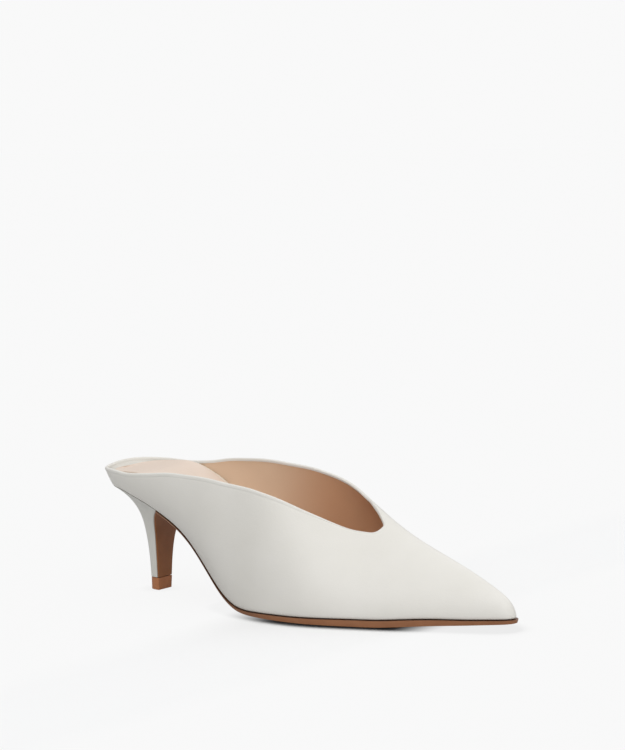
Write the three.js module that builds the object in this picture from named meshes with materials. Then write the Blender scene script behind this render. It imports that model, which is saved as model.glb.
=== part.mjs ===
import * as THREE from 'three';

// A right-foot leather mule with a pointed toe, a V-shaped throat and a kitten heel.
// Millimetres. +X runs to the toe, +Y to the inner side of the foot, +Z up.
// While it is worked out, x = 0 is the back of the rim and z = 0 is the floor.

// Driving sizes
const shoeLength = 260;
const ballWidth = 79;
const seatWidth = 45;
const heelHeight = 58;
const instepHeight = 50;
const toeSpring = 4.1;
const upperWall = 1.8;
const rimRoll = 0.5;
const soleForefoot = 3.4;
const soleShank = 1.1;
const soleOverhang = 0.4;
const soleTuck = 0.5;
const gap = 0.3;

// Heel seat: the back of the wall leans out over the heel by seatLean
const seatLean = 6;
const seatWallHeight = 9.6;
const seatRound = 41;
const seatLength = 47;

// Plan and side rounding of the toe point
const toeRound = 6;

// Footbed
const footbedHeight = 66.9;
const footbedForefoot = 4.4;
const footbedDish = 1.2;
const footbedBank = 1.4;
const insoleToeRoom = 14;
const sockThickness = 0.8;
const sockMargin = 3.2;
const sockToeRoom = 28;

// Heel tip and its cover pieces
const tipBack = 26.3;
const tipDepth = 8.2;
const tipWidth = 11.6;
const heelInset = 0.2;
const topPieceHeight = 6.8;
const topPieceTaper = 0.3;
const breastCover = 0.8;

// Mesh divisions
const ribCount = 120;
const ribSteps = 12;
const acrossCells = 6;
const heelSides = 24;
const heelLevels = 16;

// Sole outline and underside. at: share of shoeLength. centre, lateral, medial: share of the local
// width, which goes from seatWidth to ballWidth. rise, lift: share of heelHeight, lift on the inner
// side alone. spring: share of toeSpring. thick: 0 is soleShank, 1 is soleForefoot.
const solePlan = table(
  ['at', 'centre', 'lateral', 'medial', 'rise', 'lift', 'spring', 'thick'],
  [
    [0.000, 0.000, 0.500, 0.500, 0.990, 0.000, 0.00, 0.00],
    [0.038, 0.000, 0.500, 0.500, 0.988, 0.000, 0.00, 0.00],
    [0.077, 0.000, 0.500, 0.500, 0.974, 0.000, 0.00, 0.00],
    [0.115, 0.000, 0.496, 0.496, 0.924, 0.000, 0.00, 0.00],
    [0.154, 0.000, 0.480, 0.480, 0.855, 0.000, 0.00, 0.00],
    [0.200, 0.000, 0.458, 0.453, 0.743, 0.003, 0.00, 0.00],
    [0.231, 0.000, 0.446, 0.435, 0.662, 0.009, 0.00, 0.00],
    [0.269, 0.000, 0.421, 0.399, 0.519, 0.017, 0.00, 0.00],
    [0.308, 0.000, 0.415, 0.371, 0.347, 0.028, 0.00, 0.00],
    [0.346, 0.000, 0.420, 0.356, 0.186, 0.031, 0.00, 0.00],
    [0.373, 0.002, 0.431, 0.354, 0.100, 0.026, 0.00, 0.00],
    [0.400, 0.004, 0.444, 0.356, 0.041, 0.017, 0.00, 0.09],
    [0.427, 0.005, 0.459, 0.368, 0.010, 0.007, 0.00, 0.22],
    [0.454, 0.007, 0.471, 0.384, 0.000, 0.000, 0.00, 0.30],
    [0.508, 0.010, 0.499, 0.430, 0.000, 0.000, 0.00, 0.52],
    [0.562, 0.013, 0.511, 0.475, 0.000, 0.000, 0.00, 0.65],
    [0.596, 0.014, 0.505, 0.486, 0.000, 0.000, 0.00, 0.74],
    [0.635, 0.016, 0.481, 0.481, 0.000, 0.000, 0.00, 0.83],
    [0.692, 0.020, 0.425, 0.443, 0.000, 0.000, 0.00, 0.96],
    [0.742, 0.025, 0.373, 0.392, 0.000, 0.000, 0.00, 1.00],
    [0.785, 0.029, 0.322, 0.342, 0.000, 0.000, 0.15, 1.00],
    [0.846, 0.034, 0.239, 0.258, 0.000, 0.000, 0.41, 0.87],
    [0.912, 0.038, 0.157, 0.170, 0.000, 0.000, 0.63, 0.57],
    [0.962, 0.041, 0.096, 0.104, 0.000, 0.000, 0.83, 0.43],
    [1.000, 0.043, 0.053, 0.056, 0.000, 0.000, 1.00, 0.30],
  ],
);

// Cross-sections of the last above the sole. ridge: its top line, off centre, as a share of the
// local width. crest: height of that line, share of instepHeight; behind the throat it is only the
// guide of the open side walls. turn: share of the height where the wall turns in. crownLat,
// crownMed: how flat the top is. swellLat, swellMed: bulge over the sole edge, share of the width.
const sections = table(
  ['at', 'ridge', 'crest', 'turn', 'crownLat', 'crownMed', 'swellLat', 'swellMed'],
  [
    [0.000, 0.000, 2.40, 0.35, 0.80, 0.80, 0.35, 0.35],
    [0.077, 0.000, 2.40, 0.35, 0.85, 0.85, 0.31, 0.31],
    [0.154, 0.044, 2.40, 0.35, 0.85, 0.85, 0.37, 0.37],
    [0.200, 0.078, 2.44, 0.35, 0.85, 0.85, 0.44, 0.44],
    [0.269, 0.121, 2.46, 0.35, 0.85, 0.85, 0.42, 0.41],
    [0.308, 0.127, 2.48, 0.35, 0.85, 0.85, 0.36, 0.35],
    [0.346, 0.130, 2.48, 0.36, 0.85, 0.85, 0.29, 0.28],
    [0.400, 0.122, 2.43, 0.38, 0.83, 0.83, 0.14, 0.18],
    [0.454, 0.120, 2.36, 0.38, 0.78, 0.78, 0.05, 0.10],
    [0.508, 0.122, 2.02, 0.40, 0.74, 0.74, 0.02, 0.05],
    [0.562, 0.127, 1.53, 0.43, 0.66, 0.67, 0.03, 0.03],
    [0.596, 0.127, 1.31, 0.45, 0.59, 0.60, 0.04, 0.03],
    [0.635, 0.124, 1.165, 0.45, 0.50, 0.52, 0.025, 0.025],
    [0.662, 0.119, 1.080, 0.45, 0.43, 0.46, 0.013, 0.02],
    [0.692, 0.108, 0.998, 0.45, 0.36, 0.39, 0.006, 0.015],
    [0.742, 0.090, 0.866, 0.45, 0.38, 0.38, 0.006, 0.012],
    [0.785, 0.083, 0.77, 0.45, 0.42, 0.40, 0.006, 0.012],
    [0.846, 0.076, 0.646, 0.45, 0.45, 0.43, 0.006, 0.012],
    [0.912, 0.066, 0.504, 0.45, 0.48, 0.48, 0.006, 0.009],
    [0.962, 0.054, 0.378, 0.50, 0.55, 0.55, 0.004, 0.004],
    [1.000, 0.043, 0.280, 0.55, 0.55, 0.55, 0.003, 0.003],
  ],
  flowThrough,
);

// Top edge of the upper. loop: way from the heel back (0) to the toe point (1) along the sole edge.
// lag: how far the rim stays behind the rib's foot. turn: place on the section, from -1 at the outer
// sole edge through 0 on the ridge to 1 at the inner sole edge. Both sides end in the same throat.
const throat = { lag: 0.3023, turn: -0.140 };
const rimLateral = table(
  ['loop', 'lag', 'turn'],
  [
    [0.00, 0.000, -0.864],
    [0.06, 0.000, -0.872],
    [0.12, 0.000, -0.866],
    [0.17, 0.000, -0.856],
    [0.21, 0.000, -0.842],
    [0.25, 0.000, -0.801],
    [0.30, 0.000, -0.731],
    [0.35, 0.000, -0.658],
    [0.40, 0.000, -0.597],
    [0.45, 0.006, -0.577],
    [0.50, 0.034, -0.555],
    [0.56, 0.085, -0.467],
    [0.62, 0.141, -0.388],
    [0.68, 0.193, -0.361],
    [0.74, 0.235, -0.349],
    [0.80, 0.267, -0.330],
    [0.86, 0.287, -0.304],
    [0.93, 0.298, -0.257],
    [1.00, throat.lag, throat.turn],
  ],
  flowThrough,
);
const rimMedial = table(
  ['loop', 'lag', 'turn'],
  [
    [0.00, 0.000, 0.864],
    [0.06, 0.000, 0.853],
    [0.12, 0.000, 0.850],
    [0.20, 0.000, 0.838],
    [0.25, 0.000, 0.795],
    [0.30, 0.000, 0.725],
    [0.35, 0.000, 0.644],
    [0.40, 0.000, 0.579],
    [0.45, 0.006, 0.553],
    [0.50, 0.036, 0.533],
    [0.56, 0.093, 0.437],
    [0.62, 0.160, 0.326],
    [0.68, 0.223, 0.254],
    [0.74, 0.270, 0.196],
    [0.80, 0.302, 0.133],
    [0.86, 0.318, 0.056],
    [0.92, 0.318, -0.026],
    [1.00, throat.lag, throat.turn],
  ],
  flowThrough,
);

// Footbed top. at: share of shoeLength. drop: from footbedHeight at 0 to the forefoot level at 1.
const footbedPlan = table(
  ['at', 'drop'],
  [
    [0.000, 0.000],
    [0.070, -0.012],
    [0.135, -0.020],
    [0.165, 0.010],
    [0.188, 0.050],
    [0.227, 0.132],
    [0.269, 0.280],
    [0.308, 0.455],
    [0.346, 0.640],
    [0.385, 0.800],
    [0.423, 0.915],
    [0.462, 0.975],
    [0.508, 1.000],
    [1.000, 1.000],
  ],
);

// Heel flare from the tip to the seat. level: height share. back, side, breast: how far each has
// opened out from the tip's outline (0) to the seat's outline (1).
const heelFlare = table(
  ['level', 'back', 'side', 'breast'],
  [
    [0.00, 0.000, 0.000, 0.000],
    [0.20, 0.030, 0.034, 0.015],
    [0.40, 0.100, 0.090, 0.045],
    [0.60, 0.220, 0.185, 0.110],
    [0.72, 0.350, 0.300, 0.190],
    [0.81, 0.530, 0.430, 0.300],
    [0.88, 0.730, 0.560, 0.440],
    [0.94, 0.910, 0.740, 0.650],
    [1.00, 1.000, 1.000, 1.000],
  ],
);

// Turns a table with named columns into one smooth function for each column after the first
function table(columns, rows, curve = steadyThrough) {
  const keys = rows.map((row) => row[0]);
  const functions = {};
  columns.slice(1).forEach((name, index) => {
    functions[name] = curve(keys, rows.map((row) => row[index + 1]));
  });
  return functions;
}

// Monotone cubic through the rows: it never swings past a row's own value
function steadyThrough(keys, values) {
  const last = keys.length - 1;
  const rates = [];
  for (let i = 0; i < last; i += 1) {
    rates.push((values[i + 1] - values[i]) / (keys[i + 1] - keys[i]));
  }
  const slopes = [rates[0]];
  for (let i = 1; i < last; i += 1) {
    const before = keys[i] - keys[i - 1];
    const after = keys[i + 1] - keys[i];
    const turns = rates[i - 1] * rates[i] <= 0;
    const mean = 3 * (before + after)
      / ((2 * after + before) / rates[i - 1] + (after + 2 * before) / rates[i]);
    slopes.push(turns ? 0 : mean);
  }
  slopes.push(rates[last - 1]);
  return (key) => {
    const { cell, span, t } = cellOf(keys, key);
    const t2 = t * t;
    const t3 = t2 * t;
    return values[cell] * (2 * t3 - 3 * t2 + 1) + span * slopes[cell] * (t3 - 2 * t2 + t)
      + values[cell + 1] * (3 * t2 - 2 * t3) + span * slopes[cell + 1] * (t3 - t2);
  };
}

// Natural cubic spline through the rows: the most even bend, which may swing a little past a row
function flowThrough(keys, values) {
  const last = keys.length - 1;
  const bends = keys.map(() => 0);
  const shares = keys.map(() => 0);
  const loads = keys.map(() => 0);
  for (let i = 1; i < last; i += 1) {
    const before = keys[i] - keys[i - 1];
    const after = keys[i + 1] - keys[i];
    const load = (values[i + 1] - values[i]) / after - (values[i] - values[i - 1]) / before;
    const pivot = 2 * (before + after) - before * shares[i - 1];
    shares[i] = after / pivot;
    loads[i] = (6 * load - before * loads[i - 1]) / pivot;
  }
  for (let i = last - 1; i > 0; i -= 1) bends[i] = loads[i] - shares[i] * bends[i + 1];
  return (key) => {
    const { cell, span, t } = cellOf(keys, key);
    const r = 1 - t;
    const swing = (r * r * r - r) * bends[cell] + (t * t * t - t) * bends[cell + 1];
    return r * values[cell] + t * values[cell + 1] + span * span * swing / 6;
  };
}

// Cell of the rows that a key falls in, its length, and the key's share of it
function cellOf(keys, key) {
  const last = keys.length - 1;
  let cell = 0;
  while (cell < last - 1 && key > keys[cell + 1]) cell += 1;
  const span = keys[cell + 1] - keys[cell];
  return { cell, span, t: THREE.MathUtils.clamp((key - keys[cell]) / span, 0, 1) };
}

// Width that the tables' width shares refer to
function localWidth(x) {
  const waistStart = 0.2;
  const ballStart = 0.5;
  const t = THREE.MathUtils.smoothstep(x / shoeLength, waistStart, ballStart);
  return THREE.MathUtils.lerp(seatWidth, ballWidth, t);
}

// Rounds an end off: 0 at the very end, 1 from one radius inwards
function roundedEnd(distance, radius) {
  const bluntness = 3;
  const left = THREE.MathUtils.clamp(1 - distance / radius, 0, 1);
  return Math.sqrt(1 - left ** bluntness);
}

function underside(x, side) {
  const at = x / shoeLength;
  const lift = side > 0 ? solePlan.lift(at) : 0;
  return heelHeight * (solePlan.rise(at) + lift) + toeSpring * solePlan.spring(at);
}

function soleTop(x, side) {
  const thickness = THREE.MathUtils.lerp(soleShank, soleForefoot, solePlan.thick(x / shoeLength));
  return underside(x, side) + thickness;
}

function bezier(a, b, c, d, t) {
  const r = 1 - t;
  return r * r * r * a + 3 * r * r * t * b + 3 * r * t * t * c + t * t * t * d;
}

// Outer surface of the last: x along the shoe, turn from -1 (outer sole edge) to 1 (inner one)
function lastPoint(x, turn) {
  const side = turn < 0 ? -1 : 1;
  const climb = 1 - Math.abs(turn);
  const at = x / shoeLength;
  const width = localWidth(x);
  const nose = roundedEnd(shoeLength - x, toeRound);
  const ends = nose * roundedEnd(x, seatRound);
  const half = width * ends * (side < 0 ? solePlan.lateral(at) : solePlan.medial(at));
  const swell = width * ends * (side < 0 ? sections.swellLat(at) : sections.swellMed(at));
  const crown = side < 0 ? sections.crownLat(at) : sections.crownMed(at);
  const centre = width * solePlan.centre(at);
  const edgeY = centre + side * half;
  const edgeZ = soleTop(x, side) + gap;
  const ridgeY = centre + (width * sections.ridge(at) - centre) * ends;
  const lowZ = soleTop(x, -1) + gap;
  const ridgeZ = lowZ + (instepHeight * sections.crest(at) - lowZ) * nose;
  const wallZ = edgeZ + sections.turn(at) * (ridgeZ - edgeZ);
  const crownY = THREE.MathUtils.lerp(ridgeY, edgeY, crown);
  const y = bezier(edgeY, edgeY + side * swell, crownY, ridgeY, climb);
  const z = bezier(edgeZ, wallZ, ridgeZ, ridgeZ, climb);
  const leanFade = 3;
  const backShare = Math.max(0, 1 - x / seatRound) ** leanFade;
  const lean = seatLean * backShare * (1 - (z - edgeZ) / seatWallHeight);
  return new THREE.Vector3(x + lean, y, z);
}

// The vamp is charted like a half disc round the toe point, so that ribs and rows stay even there
function chartRadius(x) {
  const u = shoeLength - x;
  return Math.sqrt(u * u + 2 * toeRound * u);
}

function chartPlace(x, turn) {
  const angle = turn * Math.PI / 2;
  return [chartRadius(x) * Math.sin(angle), chartRadius(x) * Math.cos(angle)];
}

// Running number round the shoe, 0 at the heel back to 0.5 at the toe, and the length it belongs to
function aroundAt(x) {
  return Math.acos(1 - 2 * x / shoeLength) / (2 * Math.PI);
}

function footAt(around) {
  return shoeLength * (1 - Math.cos(2 * Math.PI * around)) / 2;
}

// Point of the upper's outer face: loop 0 to 1 from the heel back to the toe along one side,
// rise 0 at the sole edge to 1 at the rim
function upperPoint(loop, side, rise) {
  const rim = side < 0 ? rimLateral : rimMedial;
  const foot = footAt(loop / 2);
  const rimX = foot * (1 - rim.lag(loop));
  const rimTurn = rim.turn(loop);
  const radius = THREE.MathUtils.lerp(chartRadius(foot), chartRadius(rimX), rise);
  const turn = THREE.MathUtils.lerp(side, rimTurn, rise);
  const round = [radius * Math.sin(turn * Math.PI / 2), radius * Math.cos(turn * Math.PI / 2)];
  const from = chartPlace(foot, side);
  const to = chartPlace(rimX, rimTurn);
  const straight = [
    THREE.MathUtils.lerp(from[0], to[0], rise),
    THREE.MathUtils.lerp(from[1], to[1], rise),
  ];
  const waistLoop = 0.45;
  const vampLoop = 0.75;
  const share = THREE.MathUtils.smoothstep(loop, waistLoop, vampLoop);
  const a = THREE.MathUtils.lerp(round[0], straight[0], share);
  const b = THREE.MathUtils.lerp(round[1], straight[1], share);
  const x = shoeLength + toeRound - Math.sqrt(toeRound * toeRound + a * a + b * b);
  const onTip = a * a + b * b < 1e-12;
  const placed = onTip ? 0 : Math.atan2(a, Math.max(b, 0)) / (Math.PI / 2);
  return lastPoint(THREE.MathUtils.clamp(x, 0, shoeLength), placed === 0 ? 1e-9 * side : placed);
}

// The same point by the running number: 0 heel back, 0.5 toe, 1 heel back again, outer side first
function aroundPoint(around, rise) {
  const t = ((around % 1) + 1) % 1;
  return t <= 0.5 ? upperPoint(2 * t, -1, rise) : upperPoint(2 - 2 * t, 1, rise);
}

// Outward normal of the upper there
function aroundNormal(around, rise) {
  const step = 1e-3;
  const low = Math.max(0, rise - step);
  const high = Math.min(1, rise + step);
  const along = aroundPoint(around + step, rise).sub(aroundPoint(around - step, rise));
  const up = aroundPoint(around, high).sub(aroundPoint(around, low));
  return up.cross(along).normalize().negate();
}

// Moves a place on the outer face level with the floor, so that it lies depth inside that face
function insidePlace(around, rise, depth) {
  const normal = aroundNormal(around, rise);
  const flat = new THREE.Vector3(normal.x, normal.y, 0);
  const steep = flat.length();
  return aroundPoint(around, rise).addScaledVector(flat.normalize(), -depth / steep);
}

// Welds equal corners and drops the empty triangles that closed ends leave
function body(points, faces) {
  const places = new Map();
  const kept = [];
  const index = points.map((point) => {
    const key = [point.x, point.y, point.z].map((value) => Math.round(value * 1e4)).join(' ');
    if (!places.has(key)) {
      places.set(key, kept.length / 3);
      kept.push(point.x, point.y, point.z);
    }
    return places.get(key);
  });
  const corners = faces.map((face) => face.map((corner) => index[corner]));
  const solid = corners.filter(([a, b, c]) => a !== b && b !== c && c !== a);
  if (signedVolume(points, faces) < 0) solid.forEach((face) => face.reverse());
  const geometry = new THREE.BufferGeometry();
  geometry.setAttribute('position', new THREE.Float32BufferAttribute(kept, 3));
  geometry.setIndex(solid.flat());
  geometry.computeVertexNormals();
  return geometry;
}

// Positive where the faces point outwards
function signedVolume(points, faces) {
  const sixfold = faces.map(([a, b, c]) => {
    const across = points[b].clone().cross(points[c]);
    return points[a].dot(across);
  });
  return sixfold.reduce((sum, value) => sum + value, 0) / 6;
}

// Two triangles for each cell between two lines of corners with equal counts
function strip(faces, first, second, count, closed) {
  const cells = closed ? count : count - 1;
  for (let i = 0; i < cells; i += 1) {
    const next = (i + 1) % count;
    faces.push([first + i, first + next, second + next]);
    faces.push([first + i, second + next, second + i]);
  }
}

// A body from closed rings of corners, each ring the same count. Its two ends are closed by strips
// that join corner i with corner count - 1 - i.
function stackedRings(rings) {
  const count = rings[0].length;
  const points = rings.flat();
  const faces = [];
  for (let ring = 0; ring < rings.length - 1; ring += 1) {
    strip(faces, ring * count, (ring + 1) * count, count, true);
  }
  const end = (rings.length - 1) * count;
  for (let i = 0; count - 1 - i > i + 1; i += 1) {
    const far = count - 1 - i;
    faces.push([i, far, far - 1], [end + i, end + far - 1, end + far]);
    if (far - 1 === i + 1) break;
    faces.push([i, far - 1, i + 1], [end + i, end + i + 1, end + far - 1]);
  }
  return body(points, faces);
}

// A flat piece from cross-lines, each with its top and bottom corners from one side to the other
function plate(lines) {
  return stackedRings(lines.map((line) => [...line.top, ...line.bottom.reverse()]));
}

// Corners across a piece from its outer to its inner side, dished in the middle
function acrossLine(outer, inner, dish) {
  const corners = [];
  for (let i = 0; i <= acrossCells; i += 1) {
    const share = i / acrossCells;
    const corner = outer.clone().lerp(inner, share);
    corner.z -= dish * 4 * share * (1 - share);
    corners.push(corner);
  }
  return corners;
}

// Upper: outer face up, over the rolled rim, and down the inner face
function upperGeometry() {
  const columns = [];
  for (let rib = 0; rib < ribCount; rib += 1) {
    const around = rib / ribCount;
    const outer = [];
    const inner = [];
    for (let step = 0; step <= ribSteps; step += 1) {
      const rise = step / ribSteps;
      const place = aroundPoint(around, rise);
      outer.push(place);
      inner.push(place.clone().addScaledVector(aroundNormal(around, rise), -upperWall));
    }
    inner[0].z = outer[0].z;
    const roll = outer[ribSteps].clone().lerp(inner[ribSteps], 0.5);
    const rimDirection = outer[ribSteps].clone().sub(outer[ribSteps - 1]).normalize();
    roll.addScaledVector(rimDirection, rimRoll);
    columns.push([...outer, roll, ...inner.reverse()]);
  }
  const count = columns[0].length;
  const faces = [];
  for (let rib = 0; rib < ribCount; rib += 1) {
    const next = (rib + 1) % ribCount;
    strip(faces, next * count, rib * count, count, true);
  }
  return body(columns.flat(), faces);
}

// Height of the footbed's edge. At the seat the inner side lies footbedBank above the outer one
function footbedTop(x, around) {
  const forefoot = soleForefoot + footbedForefoot;
  const drop = footbedPlan.drop(x / shoeLength);
  const spring = toeSpring * solePlan.spring(x / shoeLength);
  const runOut = 0.09;
  const inner = around > 0.5 ? 1 - around : 0;
  const bank = footbedBank * THREE.MathUtils.smoothstep(inner, 0, runOut);
  return THREE.MathUtils.lerp(footbedHeight + bank, forefoot, drop) + spring;
}

// Where the footbed, lowered by depth, meets the wall on one side of the shoe
function footbedRise(around, depth) {
  const halvings = 40;
  let low = 0;
  let high = 1;
  for (let i = 0; i < halvings; i += 1) {
    const middle = (low + high) / 2;
    const place = aroundPoint(around, middle);
    if (place.z < footbedTop(place.x, around) - depth) low = middle;
    else high = middle;
  }
  return low;
}

// Edge of the footbed on one side: inset lies inside the outer face, depth under the footbed top
function footbedEdge(around, inset, depth) {
  const place = insidePlace(around, footbedRise(around, depth), inset);
  return place.setZ(footbedTop(place.x, around) - depth);
}

// Running numbers from one length to another, at the upper's own ribs in between
function stations(from, to) {
  const first = aroundAt(from) * ribCount;
  const last = aroundAt(to) * ribCount;
  const clearance = 0.3;
  const list = [first];
  for (let rib = Math.ceil(first + clearance); rib < last - clearance; rib += 1) list.push(rib);
  list.push(last);
  return list.map((rib) => rib / ribCount);
}

// The dish runs out to nothing at the back end
function dishAt(around) {
  const runOut = 0.04;
  return footbedDish * roundedEnd(around, runOut);
}

// Insole: a padded board that fills the seat between the walls and thins out under the forefoot
function insoleGeometry() {
  const inside = upperWall + gap;
  const boardTop = sockThickness + gap;
  const lines = stations(0, shoeLength - insoleToeRoom).map((around) => {
    const sides = [around, 1 - around];
    const top = sides.map((t) => footbedEdge(t, inside, boardTop));
    const bottom = sides.map((t) => insidePlace(t, 0, inside));
    const dish = dishAt(around);
    return {
      top: acrossLine(top[0], top[1], dish),
      bottom: acrossLine(bottom[0], bottom[1], 0),
    };
  });
  return plate(lines);
}

// Sock: a thin sheet on the insole, with an even margin to the walls
function sockGeometry() {
  const inside = upperWall + gap + sockMargin;
  const lines = stations(0, shoeLength - sockToeRoom).map((around) => {
    const sides = [around, 1 - around];
    const top = sides.map((t) => footbedEdge(t, inside, 0));
    const dish = dishAt(around);
    const upperLine = acrossLine(top[0], top[1], dish);
    const lowerLine = upperLine.map((corner) => corner.clone());
    lowerLine.forEach((corner) => {
      corner.z -= sockThickness;
    });
    return { top: upperLine, bottom: lowerLine };
  });
  return plate(lines);
}

// Outsole: from the top of the heel breast to the toe, its edge a little proud of the upper
function outsoleGeometry() {
  const start = seatLength - breastCover;
  const lines = stations(start, shoeLength).map((around) => {
    const sides = [around, 1 - around];
    const edges = sides.map((t) => insidePlace(t, 0, -soleOverhang));
    const tucked = sides.map((t) => insidePlace(t, 0, soleTuck - soleOverhang));
    edges.forEach((edge) => {
      edge.z -= gap;
    });
    tucked.forEach((edge, i) => {
      edge.z = underside(footAt(around), i === 0 ? -1 : 1);
    });
    return {
      top: acrossLine(edges[0], edges[1], 0),
      bottom: acrossLine(tucked[0], tucked[1], 0),
    };
  });
  return plate(lines);
}

// Outline of the heel's tip, from the outer breast corner round the back to the inner one
function tipPlace(angle, front, half) {
  const squareness = 0.85;
  const depth = front - tipBack;
  const across = Math.sign(Math.cos(angle)) * Math.abs(Math.cos(angle)) ** squareness;
  return new THREE.Vector3(front - depth * Math.sin(angle) ** squareness, -half * across, 0);
}

// One ring of the heel block: level 0 at the tip, 1 under the heel seat
function heelRing(level) {
  const front = seatLength - breastCover - gap;
  const tipFront = tipBack + tipDepth - breastCover - gap;
  const seatAround = aroundAt(front);
  const ring = [];
  for (let i = 0; i <= heelSides; i += 1) {
    const angle = Math.PI * i / heelSides;
    const around = THREE.MathUtils.lerp(seatAround, -seatAround, i / heelSides);
    const seat = insidePlace(around, 0, heelInset);
    seat.z -= gap;
    const tip = tipPlace(angle, tipFront, tipWidth / 2);
    const backward = Math.sin(angle) ** 2;
    const open = THREE.MathUtils.lerp(heelFlare.breast(level), heelFlare.back(level), backward);
    ring.push(new THREE.Vector3(
      THREE.MathUtils.lerp(tip.x, seat.x, open),
      THREE.MathUtils.lerp(tip.y, seat.y, heelFlare.side(level)),
      THREE.MathUtils.lerp(topPieceHeight + gap, seat.z, level),
    ));
  }
  return ring;
}

function heelGeometry() {
  const rings = [];
  for (let i = 0; i <= heelLevels; i += 1) {
    rings.push(heelRing(i / heelLevels));
  }
  return stackedRings(rings);
}

// Brown cover on the heel's front face, from the top piece up to the outsole
function heelBreastGeometry() {
  const corner = (level, index) => heelRing(level)[index === 0 ? 0 : heelSides];
  const step = 0.001;
  let top = 1;
  while (corner(top, 0).z > underside(seatLength, -1) - gap) top -= step;
  const lines = [];
  for (let i = 0; i <= heelLevels; i += 1) {
    const level = top * i / heelLevels;
    const inner = [corner(level, 0), corner(level, 1)];
    const rising = corner(level + step, 0).sub(corner(level - step, 0));
    const slant = Math.hypot(rising.x, rising.z) / rising.z;
    const near = inner.map((place) => place.clone().setX(place.x + gap * slant));
    const far = near.map((place) => place.clone().setX(place.x + breastCover));
    lines.push({ top: acrossLine(far[0], far[1], 0), bottom: acrossLine(near[0], near[1], 0) });
  }
  return plate(lines);
}

// Hard-wearing tip, flat on the floor
function topPieceGeometry() {
  const ringAt = (height, inset) => {
    const ring = [];
    for (let i = 0; i <= heelSides; i += 1) {
      const front = tipBack + tipDepth - inset;
      const place = tipPlace(Math.PI * i / heelSides, front, tipWidth / 2 - inset);
      ring.push(place.setZ(height));
    }
    return ring;
  };
  return stackedRings([ringAt(0, topPieceTaper), ringAt(topPieceHeight, 0)]);
}

function piece(name, geometry, colour, roughness) {
  const material = new THREE.MeshStandardMaterial({ color: colour, roughness, metalness: 0 });
  const mesh = new THREE.Mesh(geometry, material);
  mesh.name = name;
  return mesh;
}

const shoe = new THREE.Group();
shoe.add(
  piece('upper', upperGeometry(), 0xdedcd6, 0.45),
  piece('insole', insoleGeometry(), 0xe6dccb, 0.6),
  piece('sock', sockGeometry(), 0xdfcdbf, 0.55),
  piece('outsole', outsoleGeometry(), 0x96643f, 0.5),
  piece('heel', heelGeometry(), 0xd6d5cf, 0.45),
  piece('heel_breast', heelBreastGeometry(), 0x6f4628, 0.5),
  piece('top_piece', topPieceGeometry(), 0x8c5e40, 0.55),
);

// The part's origin is the middle of its bottom on the floor
const box = new THREE.Box3().setFromObject(shoe);
const middle = box.getCenter(new THREE.Vector3());
shoe.position.set(-middle.x, -middle.y, -box.min.z);

export default shoe;
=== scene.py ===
import math

import bmesh
import bpy
from mathutils import Matrix, Vector


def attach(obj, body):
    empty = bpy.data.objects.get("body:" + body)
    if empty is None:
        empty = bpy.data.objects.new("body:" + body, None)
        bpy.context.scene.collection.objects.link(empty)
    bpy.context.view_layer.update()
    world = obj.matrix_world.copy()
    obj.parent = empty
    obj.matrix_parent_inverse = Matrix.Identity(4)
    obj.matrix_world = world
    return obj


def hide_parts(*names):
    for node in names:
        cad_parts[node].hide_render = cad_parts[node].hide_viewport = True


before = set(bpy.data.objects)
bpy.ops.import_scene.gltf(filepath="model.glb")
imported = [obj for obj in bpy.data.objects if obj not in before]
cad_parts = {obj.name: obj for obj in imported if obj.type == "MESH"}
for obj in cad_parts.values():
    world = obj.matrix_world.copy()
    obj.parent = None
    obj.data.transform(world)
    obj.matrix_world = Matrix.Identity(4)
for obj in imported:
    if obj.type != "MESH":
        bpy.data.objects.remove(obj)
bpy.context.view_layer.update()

# Camera
# The photograph looks down a little on the outer side of a right shoe whose toe points right.
# A long lens stands 1.3 m away. mark is the point of the shoe that the lens was set out from.
azimuth = math.radians(36.8)
elevation = math.radians(9.74)
picture_roll = math.radians(1.06)
camera_distance = 1.299
focal_pixels = 2425
picture_height_pixels = 750
sensor_mm = 36
mark = Vector((-0.0102, -0.0001, 0.0350))
mark_left_of_middle = 24.7
mark_below_middle = 164.6

toward_camera = Vector((
    math.sin(azimuth) * math.cos(elevation),
    -math.cos(azimuth) * math.cos(elevation),
    math.sin(elevation),
))
level_right = Vector((math.cos(azimuth), math.sin(azimuth), 0))
level_up = toward_camera.cross(level_right)
picture_right = math.cos(picture_roll) * level_right - math.sin(picture_roll) * level_up
picture_up = math.sin(picture_roll) * level_right + math.cos(picture_roll) * level_up
metre_per_pixel = camera_distance / focal_pixels
aim = mark + metre_per_pixel * (
    mark_left_of_middle * picture_right + mark_below_middle * picture_up
)
station = mark + camera_distance * toward_camera
back_axis = (station - aim).normalized()
right_axis = (picture_right - picture_right.dot(back_axis) * back_axis).normalized()
up_axis = back_axis.cross(right_axis)
camera_data = bpy.data.cameras.new("camera")
camera_data.sensor_width = sensor_mm
camera_data.lens = focal_pixels / picture_height_pixels * sensor_mm
camera_data.clip_start = 0.05
camera_data.clip_end = 60
camera = bpy.data.objects.new("camera", camera_data)
bpy.context.scene.collection.objects.link(camera)
turned = Matrix((right_axis, up_axis, back_axis)).transposed().to_4x4()
camera.matrix_world = Matrix.Translation(station) @ turned
bpy.context.scene.camera = camera

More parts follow.
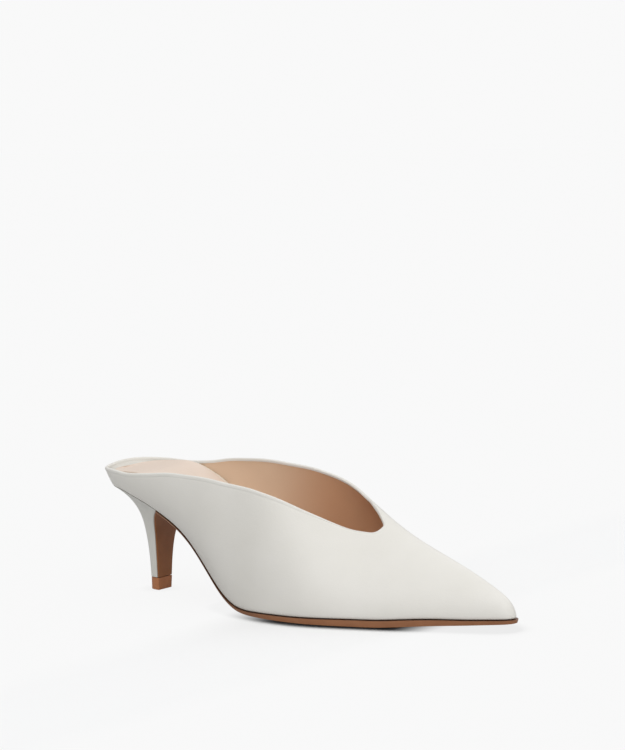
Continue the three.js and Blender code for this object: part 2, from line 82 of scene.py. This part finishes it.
# Studio light
# Even pale light from all round and three wide soft lamps: from the toe side, the front and the
# back. The camera itself sees the same pale tone behind the shoe as on the floor.
backdrop_tone = (0.946, 0.946, 0.946, 1)
light_at_horizon = 0.40
light_overhead = 0.92
world = bpy.data.worlds.new("studio")
bpy.context.scene.world = world
world.use_nodes = True
sky = world.node_tree
sky.nodes.clear()
direction = sky.nodes.new("ShaderNodeTexCoord")
parts = sky.nodes.new("ShaderNodeSeparateXYZ")
sky.links.new(direction.outputs["Generated"], parts.inputs["Vector"])
falloff = sky.nodes.new("ShaderNodeMapRange")
falloff.inputs["From Min"].default_value = 0
falloff.inputs["From Max"].default_value = 1
falloff.inputs["To Min"].default_value = light_at_horizon
falloff.inputs["To Max"].default_value = light_overhead
sky.links.new(parts.outputs["Z"], falloff.inputs["Value"])
seen = sky.nodes.new("ShaderNodeBackground")
seen.inputs["Color"].default_value = backdrop_tone
lit = sky.nodes.new("ShaderNodeBackground")
lit.inputs["Color"].default_value = (0.98, 0.99, 1.0, 1)
sky.links.new(falloff.outputs["Result"], lit.inputs["Strength"])
ray = sky.nodes.new("ShaderNodeLightPath")
choice = sky.nodes.new("ShaderNodeMixShader")
sky_out = sky.nodes.new("ShaderNodeOutputWorld")
sky.links.new(ray.outputs["Is Camera Ray"], choice.inputs["Fac"])
sky.links.new(lit.outputs["Background"], choice.inputs[1])
sky.links.new(seen.outputs["Background"], choice.inputs[2])
sky.links.new(choice.outputs["Shader"], sky_out.inputs["Surface"])


def soft_sun(name, strength, spread_degrees, toward, colour):
    """A lamp far off in the direction toward, as wide as spread_degrees."""
    data = bpy.data.lights.new(name, "SUN")
    data.energy = strength
    data.angle = math.radians(spread_degrees)
    data.color = colour
    lamp = bpy.data.objects.new(name, data)
    lamp.rotation_euler = Vector(toward).to_track_quat("Z", "Y").to_euler()
    bpy.context.scene.collection.objects.link(lamp)


soft_sun("toe_side_lamp", 0.66, 70, (0.80, -0.35, 0.62), (1.0, 0.99, 0.97))
soft_sun("front_lamp", 0.62, 60, (0.35, -0.75, 0.75), (1.0, 0.99, 0.98))
soft_sun("back_lamp", 0.35, 60, (-0.2, 0.7, 0.6), (1.0, 0.98, 0.96))

scene_view = bpy.context.scene.view_settings
scene_view.view_transform = "Standard"
scene_view.look = "None"

# Floor
# A pale matt sheet, not part of the shoe. Along the forefoot it takes a soft shadow, and painted
# contact shade in its colour darkens it to a line close to the sole. Further off it glows evenly in
# the tone of the backdrop.
floor_width = 40
floor_tone = 0.883
# Painted contact shade: the floor's colour turns dark where the sole hems it in.
painted_contact_shade_darkest = 0.02
painted_contact_shade_reach = 0.014
open_share_dark, open_share_light = 0.73, 0.91
shadow_lengths = (-0.026, 0.012, 0.072, 0.096)
shadow_shares = (0.06, 1.0, 1.0, 0.12)
ramp_middle = 0.5
bounce_tone = (0.55, 0.55, 0.55, 1)
bpy.ops.object.select_all(action="DESELECT")
bpy.ops.mesh.primitive_plane_add(size=floor_width, location=(0, 0, 0))
floor = bpy.context.object
floor.name = "floor"
floor_paint = bpy.data.materials.new("floor_paint")
floor_paint.use_nodes = True
sheet = floor_paint.node_tree
sheet.nodes.clear()
pale = sheet.nodes.new("ShaderNodeBsdfDiffuse")
contact = sheet.nodes.new("ShaderNodeAmbientOcclusion")
contact.inputs["Distance"].default_value = painted_contact_shade_reach
# Painted contact shade: occlusion near the sole darkens the floor's colour.
painted_contact_shade = sheet.nodes.new("ShaderNodeMapRange")
painted_contact_shade.inputs["From Min"].default_value = open_share_dark
painted_contact_shade.inputs["From Max"].default_value = open_share_light
painted_contact_shade.inputs["To Min"].default_value = painted_contact_shade_darkest
painted_contact_shade.inputs["To Max"].default_value = floor_tone
sheet.links.new(contact.outputs["AO"], painted_contact_shade.inputs["Value"])
sheet.links.new(painted_contact_shade.outputs["Result"], pale.inputs["Color"])
glow = sheet.nodes.new("ShaderNodeEmission")
glow.inputs["Color"].default_value = backdrop_tone
shadow_ramp = sheet.nodes.new("ShaderNodeValToRGB")
shadow_ramp.color_ramp.interpolation = "EASE"
shadow_ramp.color_ramp.elements.new(ramp_middle)
shadow_ramp.color_ramp.elements.new(ramp_middle)
for stop, length, share in zip(shadow_ramp.color_ramp.elements, shadow_lengths, shadow_shares):
    stop.position = ramp_middle + length
    stop.color = (share, share, share, 1)
floor_place = sheet.nodes.new("ShaderNodeTexCoord")
floor_parts = sheet.nodes.new("ShaderNodeSeparateXYZ")
floor_shift = sheet.nodes.new("ShaderNodeMath")
floor_shift.operation = "ADD"
floor_shift.inputs[1].default_value = ramp_middle
shadow_choice = sheet.nodes.new("ShaderNodeMixShader")
sheet.links.new(floor_place.outputs["Object"], floor_parts.inputs["Vector"])
sheet.links.new(floor_parts.outputs["X"], floor_shift.inputs[0])
sheet.links.new(floor_shift.outputs["Value"], shadow_ramp.inputs["Fac"])
sheet.links.new(shadow_ramp.outputs["Color"], shadow_choice.inputs["Fac"])
sheet.links.new(glow.outputs["Emission"], shadow_choice.inputs[1])
sheet.links.new(pale.outputs["BSDF"], shadow_choice.inputs[2])
dim = sheet.nodes.new("ShaderNodeBsdfDiffuse")
dim.inputs["Color"].default_value = bounce_tone
floor_ray = sheet.nodes.new("ShaderNodeLightPath")
floor_choice = sheet.nodes.new("ShaderNodeMixShader")
sheet_out = sheet.nodes.new("ShaderNodeOutputMaterial")
sheet.links.new(floor_ray.outputs["Is Camera Ray"], floor_choice.inputs["Fac"])
sheet.links.new(dim.outputs["BSDF"], floor_choice.inputs[1])
sheet.links.new(shadow_choice.outputs["Shader"], floor_choice.inputs[2])
sheet.links.new(floor_choice.outputs["Shader"], sheet_out.inputs["Surface"])
floor.data.materials.append(floor_paint)


# Upper
# Smooth off-white leather, lasted over a pointed last, open behind the instep. Its top edge is
# folded in over a narrow tape, with a fine line under the fold; a tan lining starts below it.
merge_distance = 2e-6
spoke_count = 6


def grid_copy(node, name):
    """A merged copy of a CAD node, with the diagonals of its even cells taken out again."""
    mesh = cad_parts[node].data.copy()
    mesh.name = name
    mesh.materials.clear()
    grid = bmesh.new()
    grid.from_mesh(mesh)
    bmesh.ops.remove_doubles(grid, verts=grid.verts, dist=merge_distance)
    grid.faces.ensure_lookup_table()
    middle_face = grid.faces[len(grid.faces) // 2]
    families = [diagonal_family(edge) for edge in middle_face.edges]
    longest = max(families, key=lambda family: sum(e.calc_length() for e in family) / len(family))
    bmesh.ops.dissolve_edges(grid, edges=list(longest), use_verts=False)
    grid.to_mesh(mesh)
    grid.free()
    piece = bpy.data.objects.new(name, mesh)
    bpy.context.scene.collection.objects.link(piece)
    bpy.ops.object.select_all(action="DESELECT")
    bpy.context.view_layer.objects.active = piece
    piece.select_set(True)
    return piece


def edges_round(corner):
    """A corner's edges in turn round it."""
    first = corner.link_loops[0]
    edges = []
    loop = first
    while loop is not None:
        edges.append(loop.edge)
        loop = loop.link_loop_prev.link_loop_radial_next
        if loop == first:
            return edges
    return edges


def diagonal_family(seed):
    """All edges that run the same way as seed through an even net of triangles, where spoke_count
    edges meet at each corner."""
    family = set()
    waiting = [seed]
    while waiting:
        edge = waiting.pop()
        if edge in family:
            continue
        family.add(edge)
        for corner in edge.verts:
            if len(corner.link_edges) == spoke_count:
                spokes = edges_round(corner)
                opposite = spokes.index(edge) + spoke_count // 2
                waiting.append(spokes[opposite % spoke_count])
        for face in edge.link_faces:
            far = next(corner for corner in face.verts if corner not in edge.verts)
            if len(far.link_edges) == spoke_count:
                spokes = edges_round(far)
                pair = sorted(spokes.index(side) for side in face.edges if side is not edge)
                start = pair[1] if pair == [0, spoke_count - 1] else pair[0]
                waiting.append(spokes[(start + 2) % spoke_count])
                waiting.append(spokes[(start - 1) % spoke_count])
    return family


def apply_modifier(piece, kind, **settings):
    """Adds a modifier with these settings to the active piece and applies it at once."""
    modifier = piece.modifiers.new(kind.lower(), kind)
    for key, value in settings.items():
        setattr(modifier, key, value)
    bpy.ops.object.modifier_apply(modifier=modifier.name)


def round_off(piece, edge_width, sharp_degrees=32):
    """Rounds the sharp edges by edge_width, then smooths the cells twice."""
    apply_modifier(piece, "BEVEL", width=edge_width, segments=2, limit_method="ANGLE",
                   angle_limit=math.radians(sharp_degrees), use_clamp_overlap=True)
    apply_modifier(piece, "SUBSURF", levels=2, render_levels=2)
    bpy.ops.object.shade_smooth()


def node(tree, kind, **sockets):
    """A shader node; a socket given as another socket is linked, any other value is set on it."""
    made = tree.nodes.new(kind)
    for key, value in sockets.items():
        socket = made.inputs[key.replace("_", " ")]
        if isinstance(value, bpy.types.NodeSocket):
            tree.links.new(value, socket)
        else:
            socket.default_value = value
    return made


noise_low, noise_high = 0.3, 0.7
pore_share = 0.45
grain_strength = 0.6
polish_gain, polish_loss = 0.05, 0.06
leather_specular = 0.42
coat_roughness = 0.35


def shade_between(tree, low, high, mask):
    """Colour that runs from low to high with the mask."""
    ramp = tree.nodes.new("ShaderNodeValToRGB")
    ramp.color_ramp.elements[0].position = noise_low
    ramp.color_ramp.elements[0].color = (*low, 1)
    ramp.color_ramp.elements[1].position = noise_high
    ramp.color_ramp.elements[1].color = (*high, 1)
    tree.links.new(mask, ramp.inputs["Fac"])
    return ramp.outputs["Color"]


def hide_group():
    """Leather surface: pores, fine creases and slow tone changes, sized in parts per metre."""
    tree = bpy.data.node_groups.new("hide_surface", "ShaderNodeTree")
    for name, start in (("Pores", 1500.0), ("Creases", 420.0), ("Clouds", 26.0)):
        socket = tree.interface.new_socket(name=name, in_out="INPUT", socket_type="NodeSocketFloat")
        socket.default_value = start
    for name in ("Height", "Tone", "Clouding"):
        tree.interface.new_socket(name=name, in_out="OUTPUT", socket_type="NodeSocketFloat")
    given = tree.nodes.new("NodeGroupInput")
    place = tree.nodes.new("ShaderNodeTexCoord").outputs["Object"]
    pores = node(tree, "ShaderNodeTexVoronoi", Vector=place, Scale=given.outputs["Pores"])
    creases = node(tree, "ShaderNodeTexNoise", Vector=place, Scale=given.outputs["Creases"],
                   Detail=5.0, Roughness=0.62, Distortion=0.6)
    clouds = node(tree, "ShaderNodeTexNoise", Vector=place, Scale=given.outputs["Clouds"],
                  Detail=3.0, Roughness=0.5)
    summed = tree.nodes.new("ShaderNodeMath")
    summed.operation = "MULTIPLY_ADD"
    summed.inputs[1].default_value = pore_share
    tree.links.new(pores.outputs["Distance"], summed.inputs[0])
    tree.links.new(creases.outputs["Fac"], summed.inputs[2])
    out = tree.nodes.new("NodeGroupOutput")
    tree.links.new(summed.outputs["Value"], out.inputs["Height"])
    tree.links.new(creases.outputs["Fac"], out.inputs["Tone"])
    tree.links.new(clouds.outputs["Fac"], out.inputs["Clouding"])
    return tree


hide_surface = hide_group()


def leather(name, low, high, rough, grain_depth, pores=1500.0, creases=420.0, clouds=26.0,
            coat=0.0):
    """Leather whose colour runs between low and high, with grain_depth metres of relief."""
    material = bpy.data.materials.new(name)
    material.use_nodes = True
    tree = material.node_tree
    shader = tree.nodes["Principled BSDF"]
    hide = tree.nodes.new("ShaderNodeGroup")
    hide.node_tree = hide_surface
    hide.inputs["Pores"].default_value = pores
    hide.inputs["Creases"].default_value = creases
    hide.inputs["Clouds"].default_value = clouds
    tree.links.new(shade_between(tree, low, high, hide.outputs["Clouding"]),
                   shader.inputs["Base Color"])
    polish = node(tree, "ShaderNodeMapRange", Value=hide.outputs["Tone"], From_Min=noise_low,
                  From_Max=noise_high, To_Min=rough - polish_gain, To_Max=rough + polish_loss)
    tree.links.new(polish.outputs["Result"], shader.inputs["Roughness"])
    relief = node(tree, "ShaderNodeBump", Height=hide.outputs["Height"],
                  Strength=grain_strength, Distance=grain_depth)
    tree.links.new(relief.outputs["Normal"], shader.inputs["Normal"])
    shader.inputs["Specular IOR Level"].default_value = leather_specular
    shader.inputs["Coat Weight"].default_value = coat
    shader.inputs["Coat Roughness"].default_value = coat_roughness
    return material


def paint_shade_forward(material, share, start, end):
    """Multiplies the colour by share toward the toe, from x = start to x = end, in metres, as
    painted shade.
    """
    tree = material.node_tree
    colour = tree.nodes["Principled BSDF"].inputs["Base Color"]
    plain = colour.links[0].from_socket
    place = tree.nodes.new("ShaderNodeTexCoord")
    parts = node(tree, "ShaderNodeSeparateXYZ", Vector=place.outputs["Object"])
    along = node(tree, "ShaderNodeMapRange", Value=parts.outputs["X"], From_Min=start, From_Max=end)
    along.interpolation_type = "SMOOTHSTEP"
    mix = tree.nodes.new("ShaderNodeMix")
    mix.data_type = "RGBA"
    mix.blend_type = "MULTIPLY"
    first_colour, second_colour = [socket for socket in mix.inputs if socket.type == "RGBA"]
    mixed = next(socket for socket in mix.outputs if socket.type == "RGBA")
    second_colour.default_value = (*share, 1)
    tree.links.new(along.outputs["Result"], mix.inputs["Factor"])
    tree.links.new(plain, first_colour)
    tree.links.new(mixed, colour)


def rides_as(piece, node_name):
    """The finished piece stands for the CAD node, which is hidden, and hangs from the root body."""
    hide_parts(node_name)
    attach(piece, "root")


def strip_from(loop):
    """The loops of a strip of cells, crossed from edge to opposite edge until it closes."""
    strip = [loop]
    step = loop.link_loop_next.link_loop_next.link_loop_radial_next
    while step is not loop:
        strip.append(step)
        step = step.link_loop_next.link_loop_next.link_loop_radial_next
    return strip


def line_length(line):
    """The length of a line of points."""
    return sum((b - a).length for a, b in zip(line, line[1:]))


def wall_columns(piece):
    """The wall's grid as columns: outer face from rim to foot, rolled rim, inner face likewise. The
    wall is a closed tube of cells, and its two narrowest rows make the rolled rim."""
    tube = bmesh.new()
    tube.from_mesh(piece.data)
    tube.faces.ensure_lookup_table()
    first = tube.faces[0].loops[0]
    section = min(strip_from(first), strip_from(first.link_loop_next), key=len)
    rows = [strip_from(loop.link_loop_next) for loop in section]
    widths = [sum(loop.edge.calc_length() for loop in row) for row in rows]
    count = len(rows)
    rim = min(range(count), key=lambda i: widths[i] + widths[(i + 1) % count])
    rows = rows[rim:] + rows[:rim]
    ahead = rows[0][0].vert in list(rows[1][0].face.verts)
    lines = [
        [(loop if ahead else loop.link_loop_next).vert.co.copy() for loop in row]
        for row in rows
    ]
    tube.free()
    half = (count - 3) // 2
    faces = [lines[1:half + 2], lines[:half + 1:-1]]
    columns = [[list(points) for points in zip(*face)] for face in faces]
    columns.sort(key=lambda face: sum(line_length(line) for line in face), reverse=True)
    return list(zip(columns[0], lines[0], columns[1]))


def points_along(line, distances):
    """Places at these distances along a smooth curve through the points of line."""
    reached = [0.0]
    for a, b in zip(line, line[1:]):
        reached.append(reached[-1] + (b - a).length)
    last = len(line) - 1
    slopes = []
    for i in range(last + 1):
        low, high = max(i - 1, 0), min(i + 1, last)
        slopes.append((line[high] - line[low]) / (reached[high] - reached[low]))
    places = []
    for distance in distances:
        i = 0
        while i < last - 1 and distance > reached[i + 1]:
            i += 1
        span = reached[i + 1] - reached[i]
        t = (distance - reached[i]) / span
        places.append(
            line[i] * (2 * t ** 3 - 3 * t ** 2 + 1) + slopes[i] * span * (t ** 3 - 2 * t ** 2 + t)
            + line[i + 1] * (3 * t ** 2 - 2 * t ** 3) + slopes[i + 1] * span * (t ** 3 - t ** 2)
        )
    return places


# Both profiles hold (distance from the rim, height over the wall's face) in metres. The lining
# starts at row lining_start of the turned-in edge. Behind seat_lining_end the inside is white too.
fold_profile = [(0.0, 0.0), (0.0008, 0.00006), (0.0016, 0.00004), (0.0019, -0.00020),
                (0.0022, -0.00006)]
turned_profile = [(0.0, 0.0), (0.0007, 0.00002), (0.0014, 0.0), (0.0017, -0.00022)]
lining_start = 3
seat_lining_end = -0.100
# Painted shade: the lining's colour darkens toward the toe, deeper inside the shoe.
lining_painted_shade = (0.79, 0.61, 0.50)
lining_painted_shade_start, lining_painted_shade_end = -0.048, 0.002
rows_below = 12


def shaped_face(line, other, profile):
    """One face of a column again: the profile below the rim, then even rows down to the foot."""
    whole = line_length(line)
    across = line_length(other) / whole
    start, height = profile[-1]
    distances = [distance for distance, _ in profile]
    distances += [start + (whole - start) * (i + 1) / rows_below for i in range(rows_below)]
    heights = [rise for _, rise in profile] + [height] * rows_below
    heights[-1] = 0.0
    own = points_along(line, distances)
    opposite = points_along(other, [distance * across for distance in distances])
    return [a + (a - b).normalized() * rise for a, b, rise in zip(own, opposite, heights)]


upper = grid_copy("upper", "upper_leather")
ring_points = []
for outer, roll, inner in wall_columns(upper):
    outside = shaped_face(outer, inner, fold_profile)
    inside = shaped_face(inner, outer, turned_profile)
    ring_points.append(outside[::-1] + [roll] + inside)
ring_count = len(ring_points)
section_count = len(ring_points[0])
lining_row = len(fold_profile) + rows_below + 1 + lining_start
cells = []
for ring in range(ring_count):
    for row in range(section_count):
        near, far = ring * section_count, (ring + 1) % ring_count * section_count
        after = (row + 1) % section_count
        cells.append((near + row, near + after, far + after, far + row))
wall = bpy.data.meshes.new("upper_leather")
wall.from_pydata([point for ring in ring_points for point in ring], [], cells)
upper.data = wall
upper_white = leather("upper_white", (0.722, 0.702, 0.652), (0.765, 0.746, 0.702), 0.43, 0.00010)
lining_tan = leather("lining_tan", (0.710, 0.505, 0.350), (0.750, 0.550, 0.390), 0.62, 0.00008,
                     pores=1900.0)
# The lining's tan is darkened toward the toe as painted shade.
paint_shade_forward(lining_tan, lining_painted_shade, lining_painted_shade_start, lining_painted_shade_end)
wall.materials.append(upper_white)
wall.materials.append(lining_tan)
for face in wall.polygons:
    row = face.index % section_count
    tan = lining_row - 1 <= row < section_count - 1 and face.center.x > seat_lining_end
    face.material_index = 1 if tan else 0
bpy.ops.object.mode_set(mode="EDIT")
bpy.ops.mesh.select_all(action="SELECT")
bpy.ops.mesh.normals_make_consistent(inside=False)
bpy.ops.object.mode_set(mode="OBJECT")
apply_modifier(upper, "SUBSURF", levels=2, render_levels=2)
bpy.ops.object.shade_smooth()
rides_as(upper, "upper")

# Insole
# A padded board wrapped in cream leather: thick over the heel seat, thin under the ball. It is
# glued down inside the wall, and its rim shows as a narrow cream border round the sock.
insole_cream = leather("insole_cream", (0.730, 0.650, 0.540), (0.775, 0.705, 0.600), 0.52, 0.00008)
insole = grid_copy("insole", "padded_insole")
insole.data.materials.append(insole_cream)
round_off(insole, 0.0009)
rides_as(insole, "insole")

# Sock
# A thin sheet of pale pink-beige leather, cut a little smaller than the insole and glued on it.
sock_pink = leather("sock_pink", (0.690, 0.565, 0.473), (0.735, 0.610, 0.517), 0.50, 0.00009,
                    pores=1300.0)
sock = grid_copy("sock", "sock_leather")
sock.data.materials.append(sock_pink)
round_off(sock, 0.00025)
rides_as(sock, "sock")

# Outsole
# Brown sole leather, thin along the shank and thicker under the ball, glued to the lasted upper.
# Its edge is trimmed and burnished, with painted shade in a dark line along the top where the upper
# meets it; the tread is left as leather.
sole_brown = leather("sole_brown", (0.255, 0.100, 0.040), (0.335, 0.143, 0.062), 0.42, 0.00012,
                     clouds=60.0, coat=0.1)
# Painted shade: a dark colour on the faces that look up, where the upper meets the sole.
painted_seam_shade = leather("painted_seam_shade", (0.125, 0.055, 0.028), (0.175, 0.080, 0.042), 0.45, 0.00006)
outsole = grid_copy("outsole", "outsole_leather")
outsole.data.materials.append(sole_brown)
outsole.data.materials.append(painted_seam_shade)
facing_up = 0.5
for face in outsole.data.polygons:
    face.material_index = 1 if face.normal.z > facing_up else 0
round_off(outsole, 0.0003)
rides_as(outsole, "outsole")

# Heel
# A slim kitten heel, its block covered in the same off-white leather as the upper, its colour
# painted darker as shade.
# Painted shade: the heel's leather takes a darker colour than the upper's.
heel_white_painted_shade = leather("heel_white_painted_shade", (0.640, 0.628, 0.582), (0.690, 0.678, 0.632), 0.42, 0.00009)
heel = grid_copy("heel", "covered_heel")
heel.data.materials.append(heel_white_painted_shade)
round_off(heel, 0.0005)
rides_as(heel, "heel")

# Heel breast
# The brown leather cover on the heel's front face, cut flush and glued on.
breast_brown = leather("breast_brown", (0.290, 0.108, 0.035), (0.360, 0.140, 0.050), 0.5, 0.00010,
                       clouds=70.0)
breast = grid_copy("heel_breast", "heel_breast_leather")
breast.data.materials.append(breast_brown)
round_off(breast, 0.0002)
rides_as(breast, "heel_breast")

# Top piece
# The hard-wearing tan tip under the heel, pinned on and trimmed to the heel's outline.
tip_tan = leather("tip_tan", (0.380, 0.143, 0.056), (0.460, 0.180, 0.074), 0.48, 0.00006,
                  clouds=120.0)
top_piece = grid_copy("top_piece", "heel_tip")
top_piece.data.materials.append(tip_tan)
round_off(top_piece, 0.0009)
rides_as(top_piece, "top_piece")
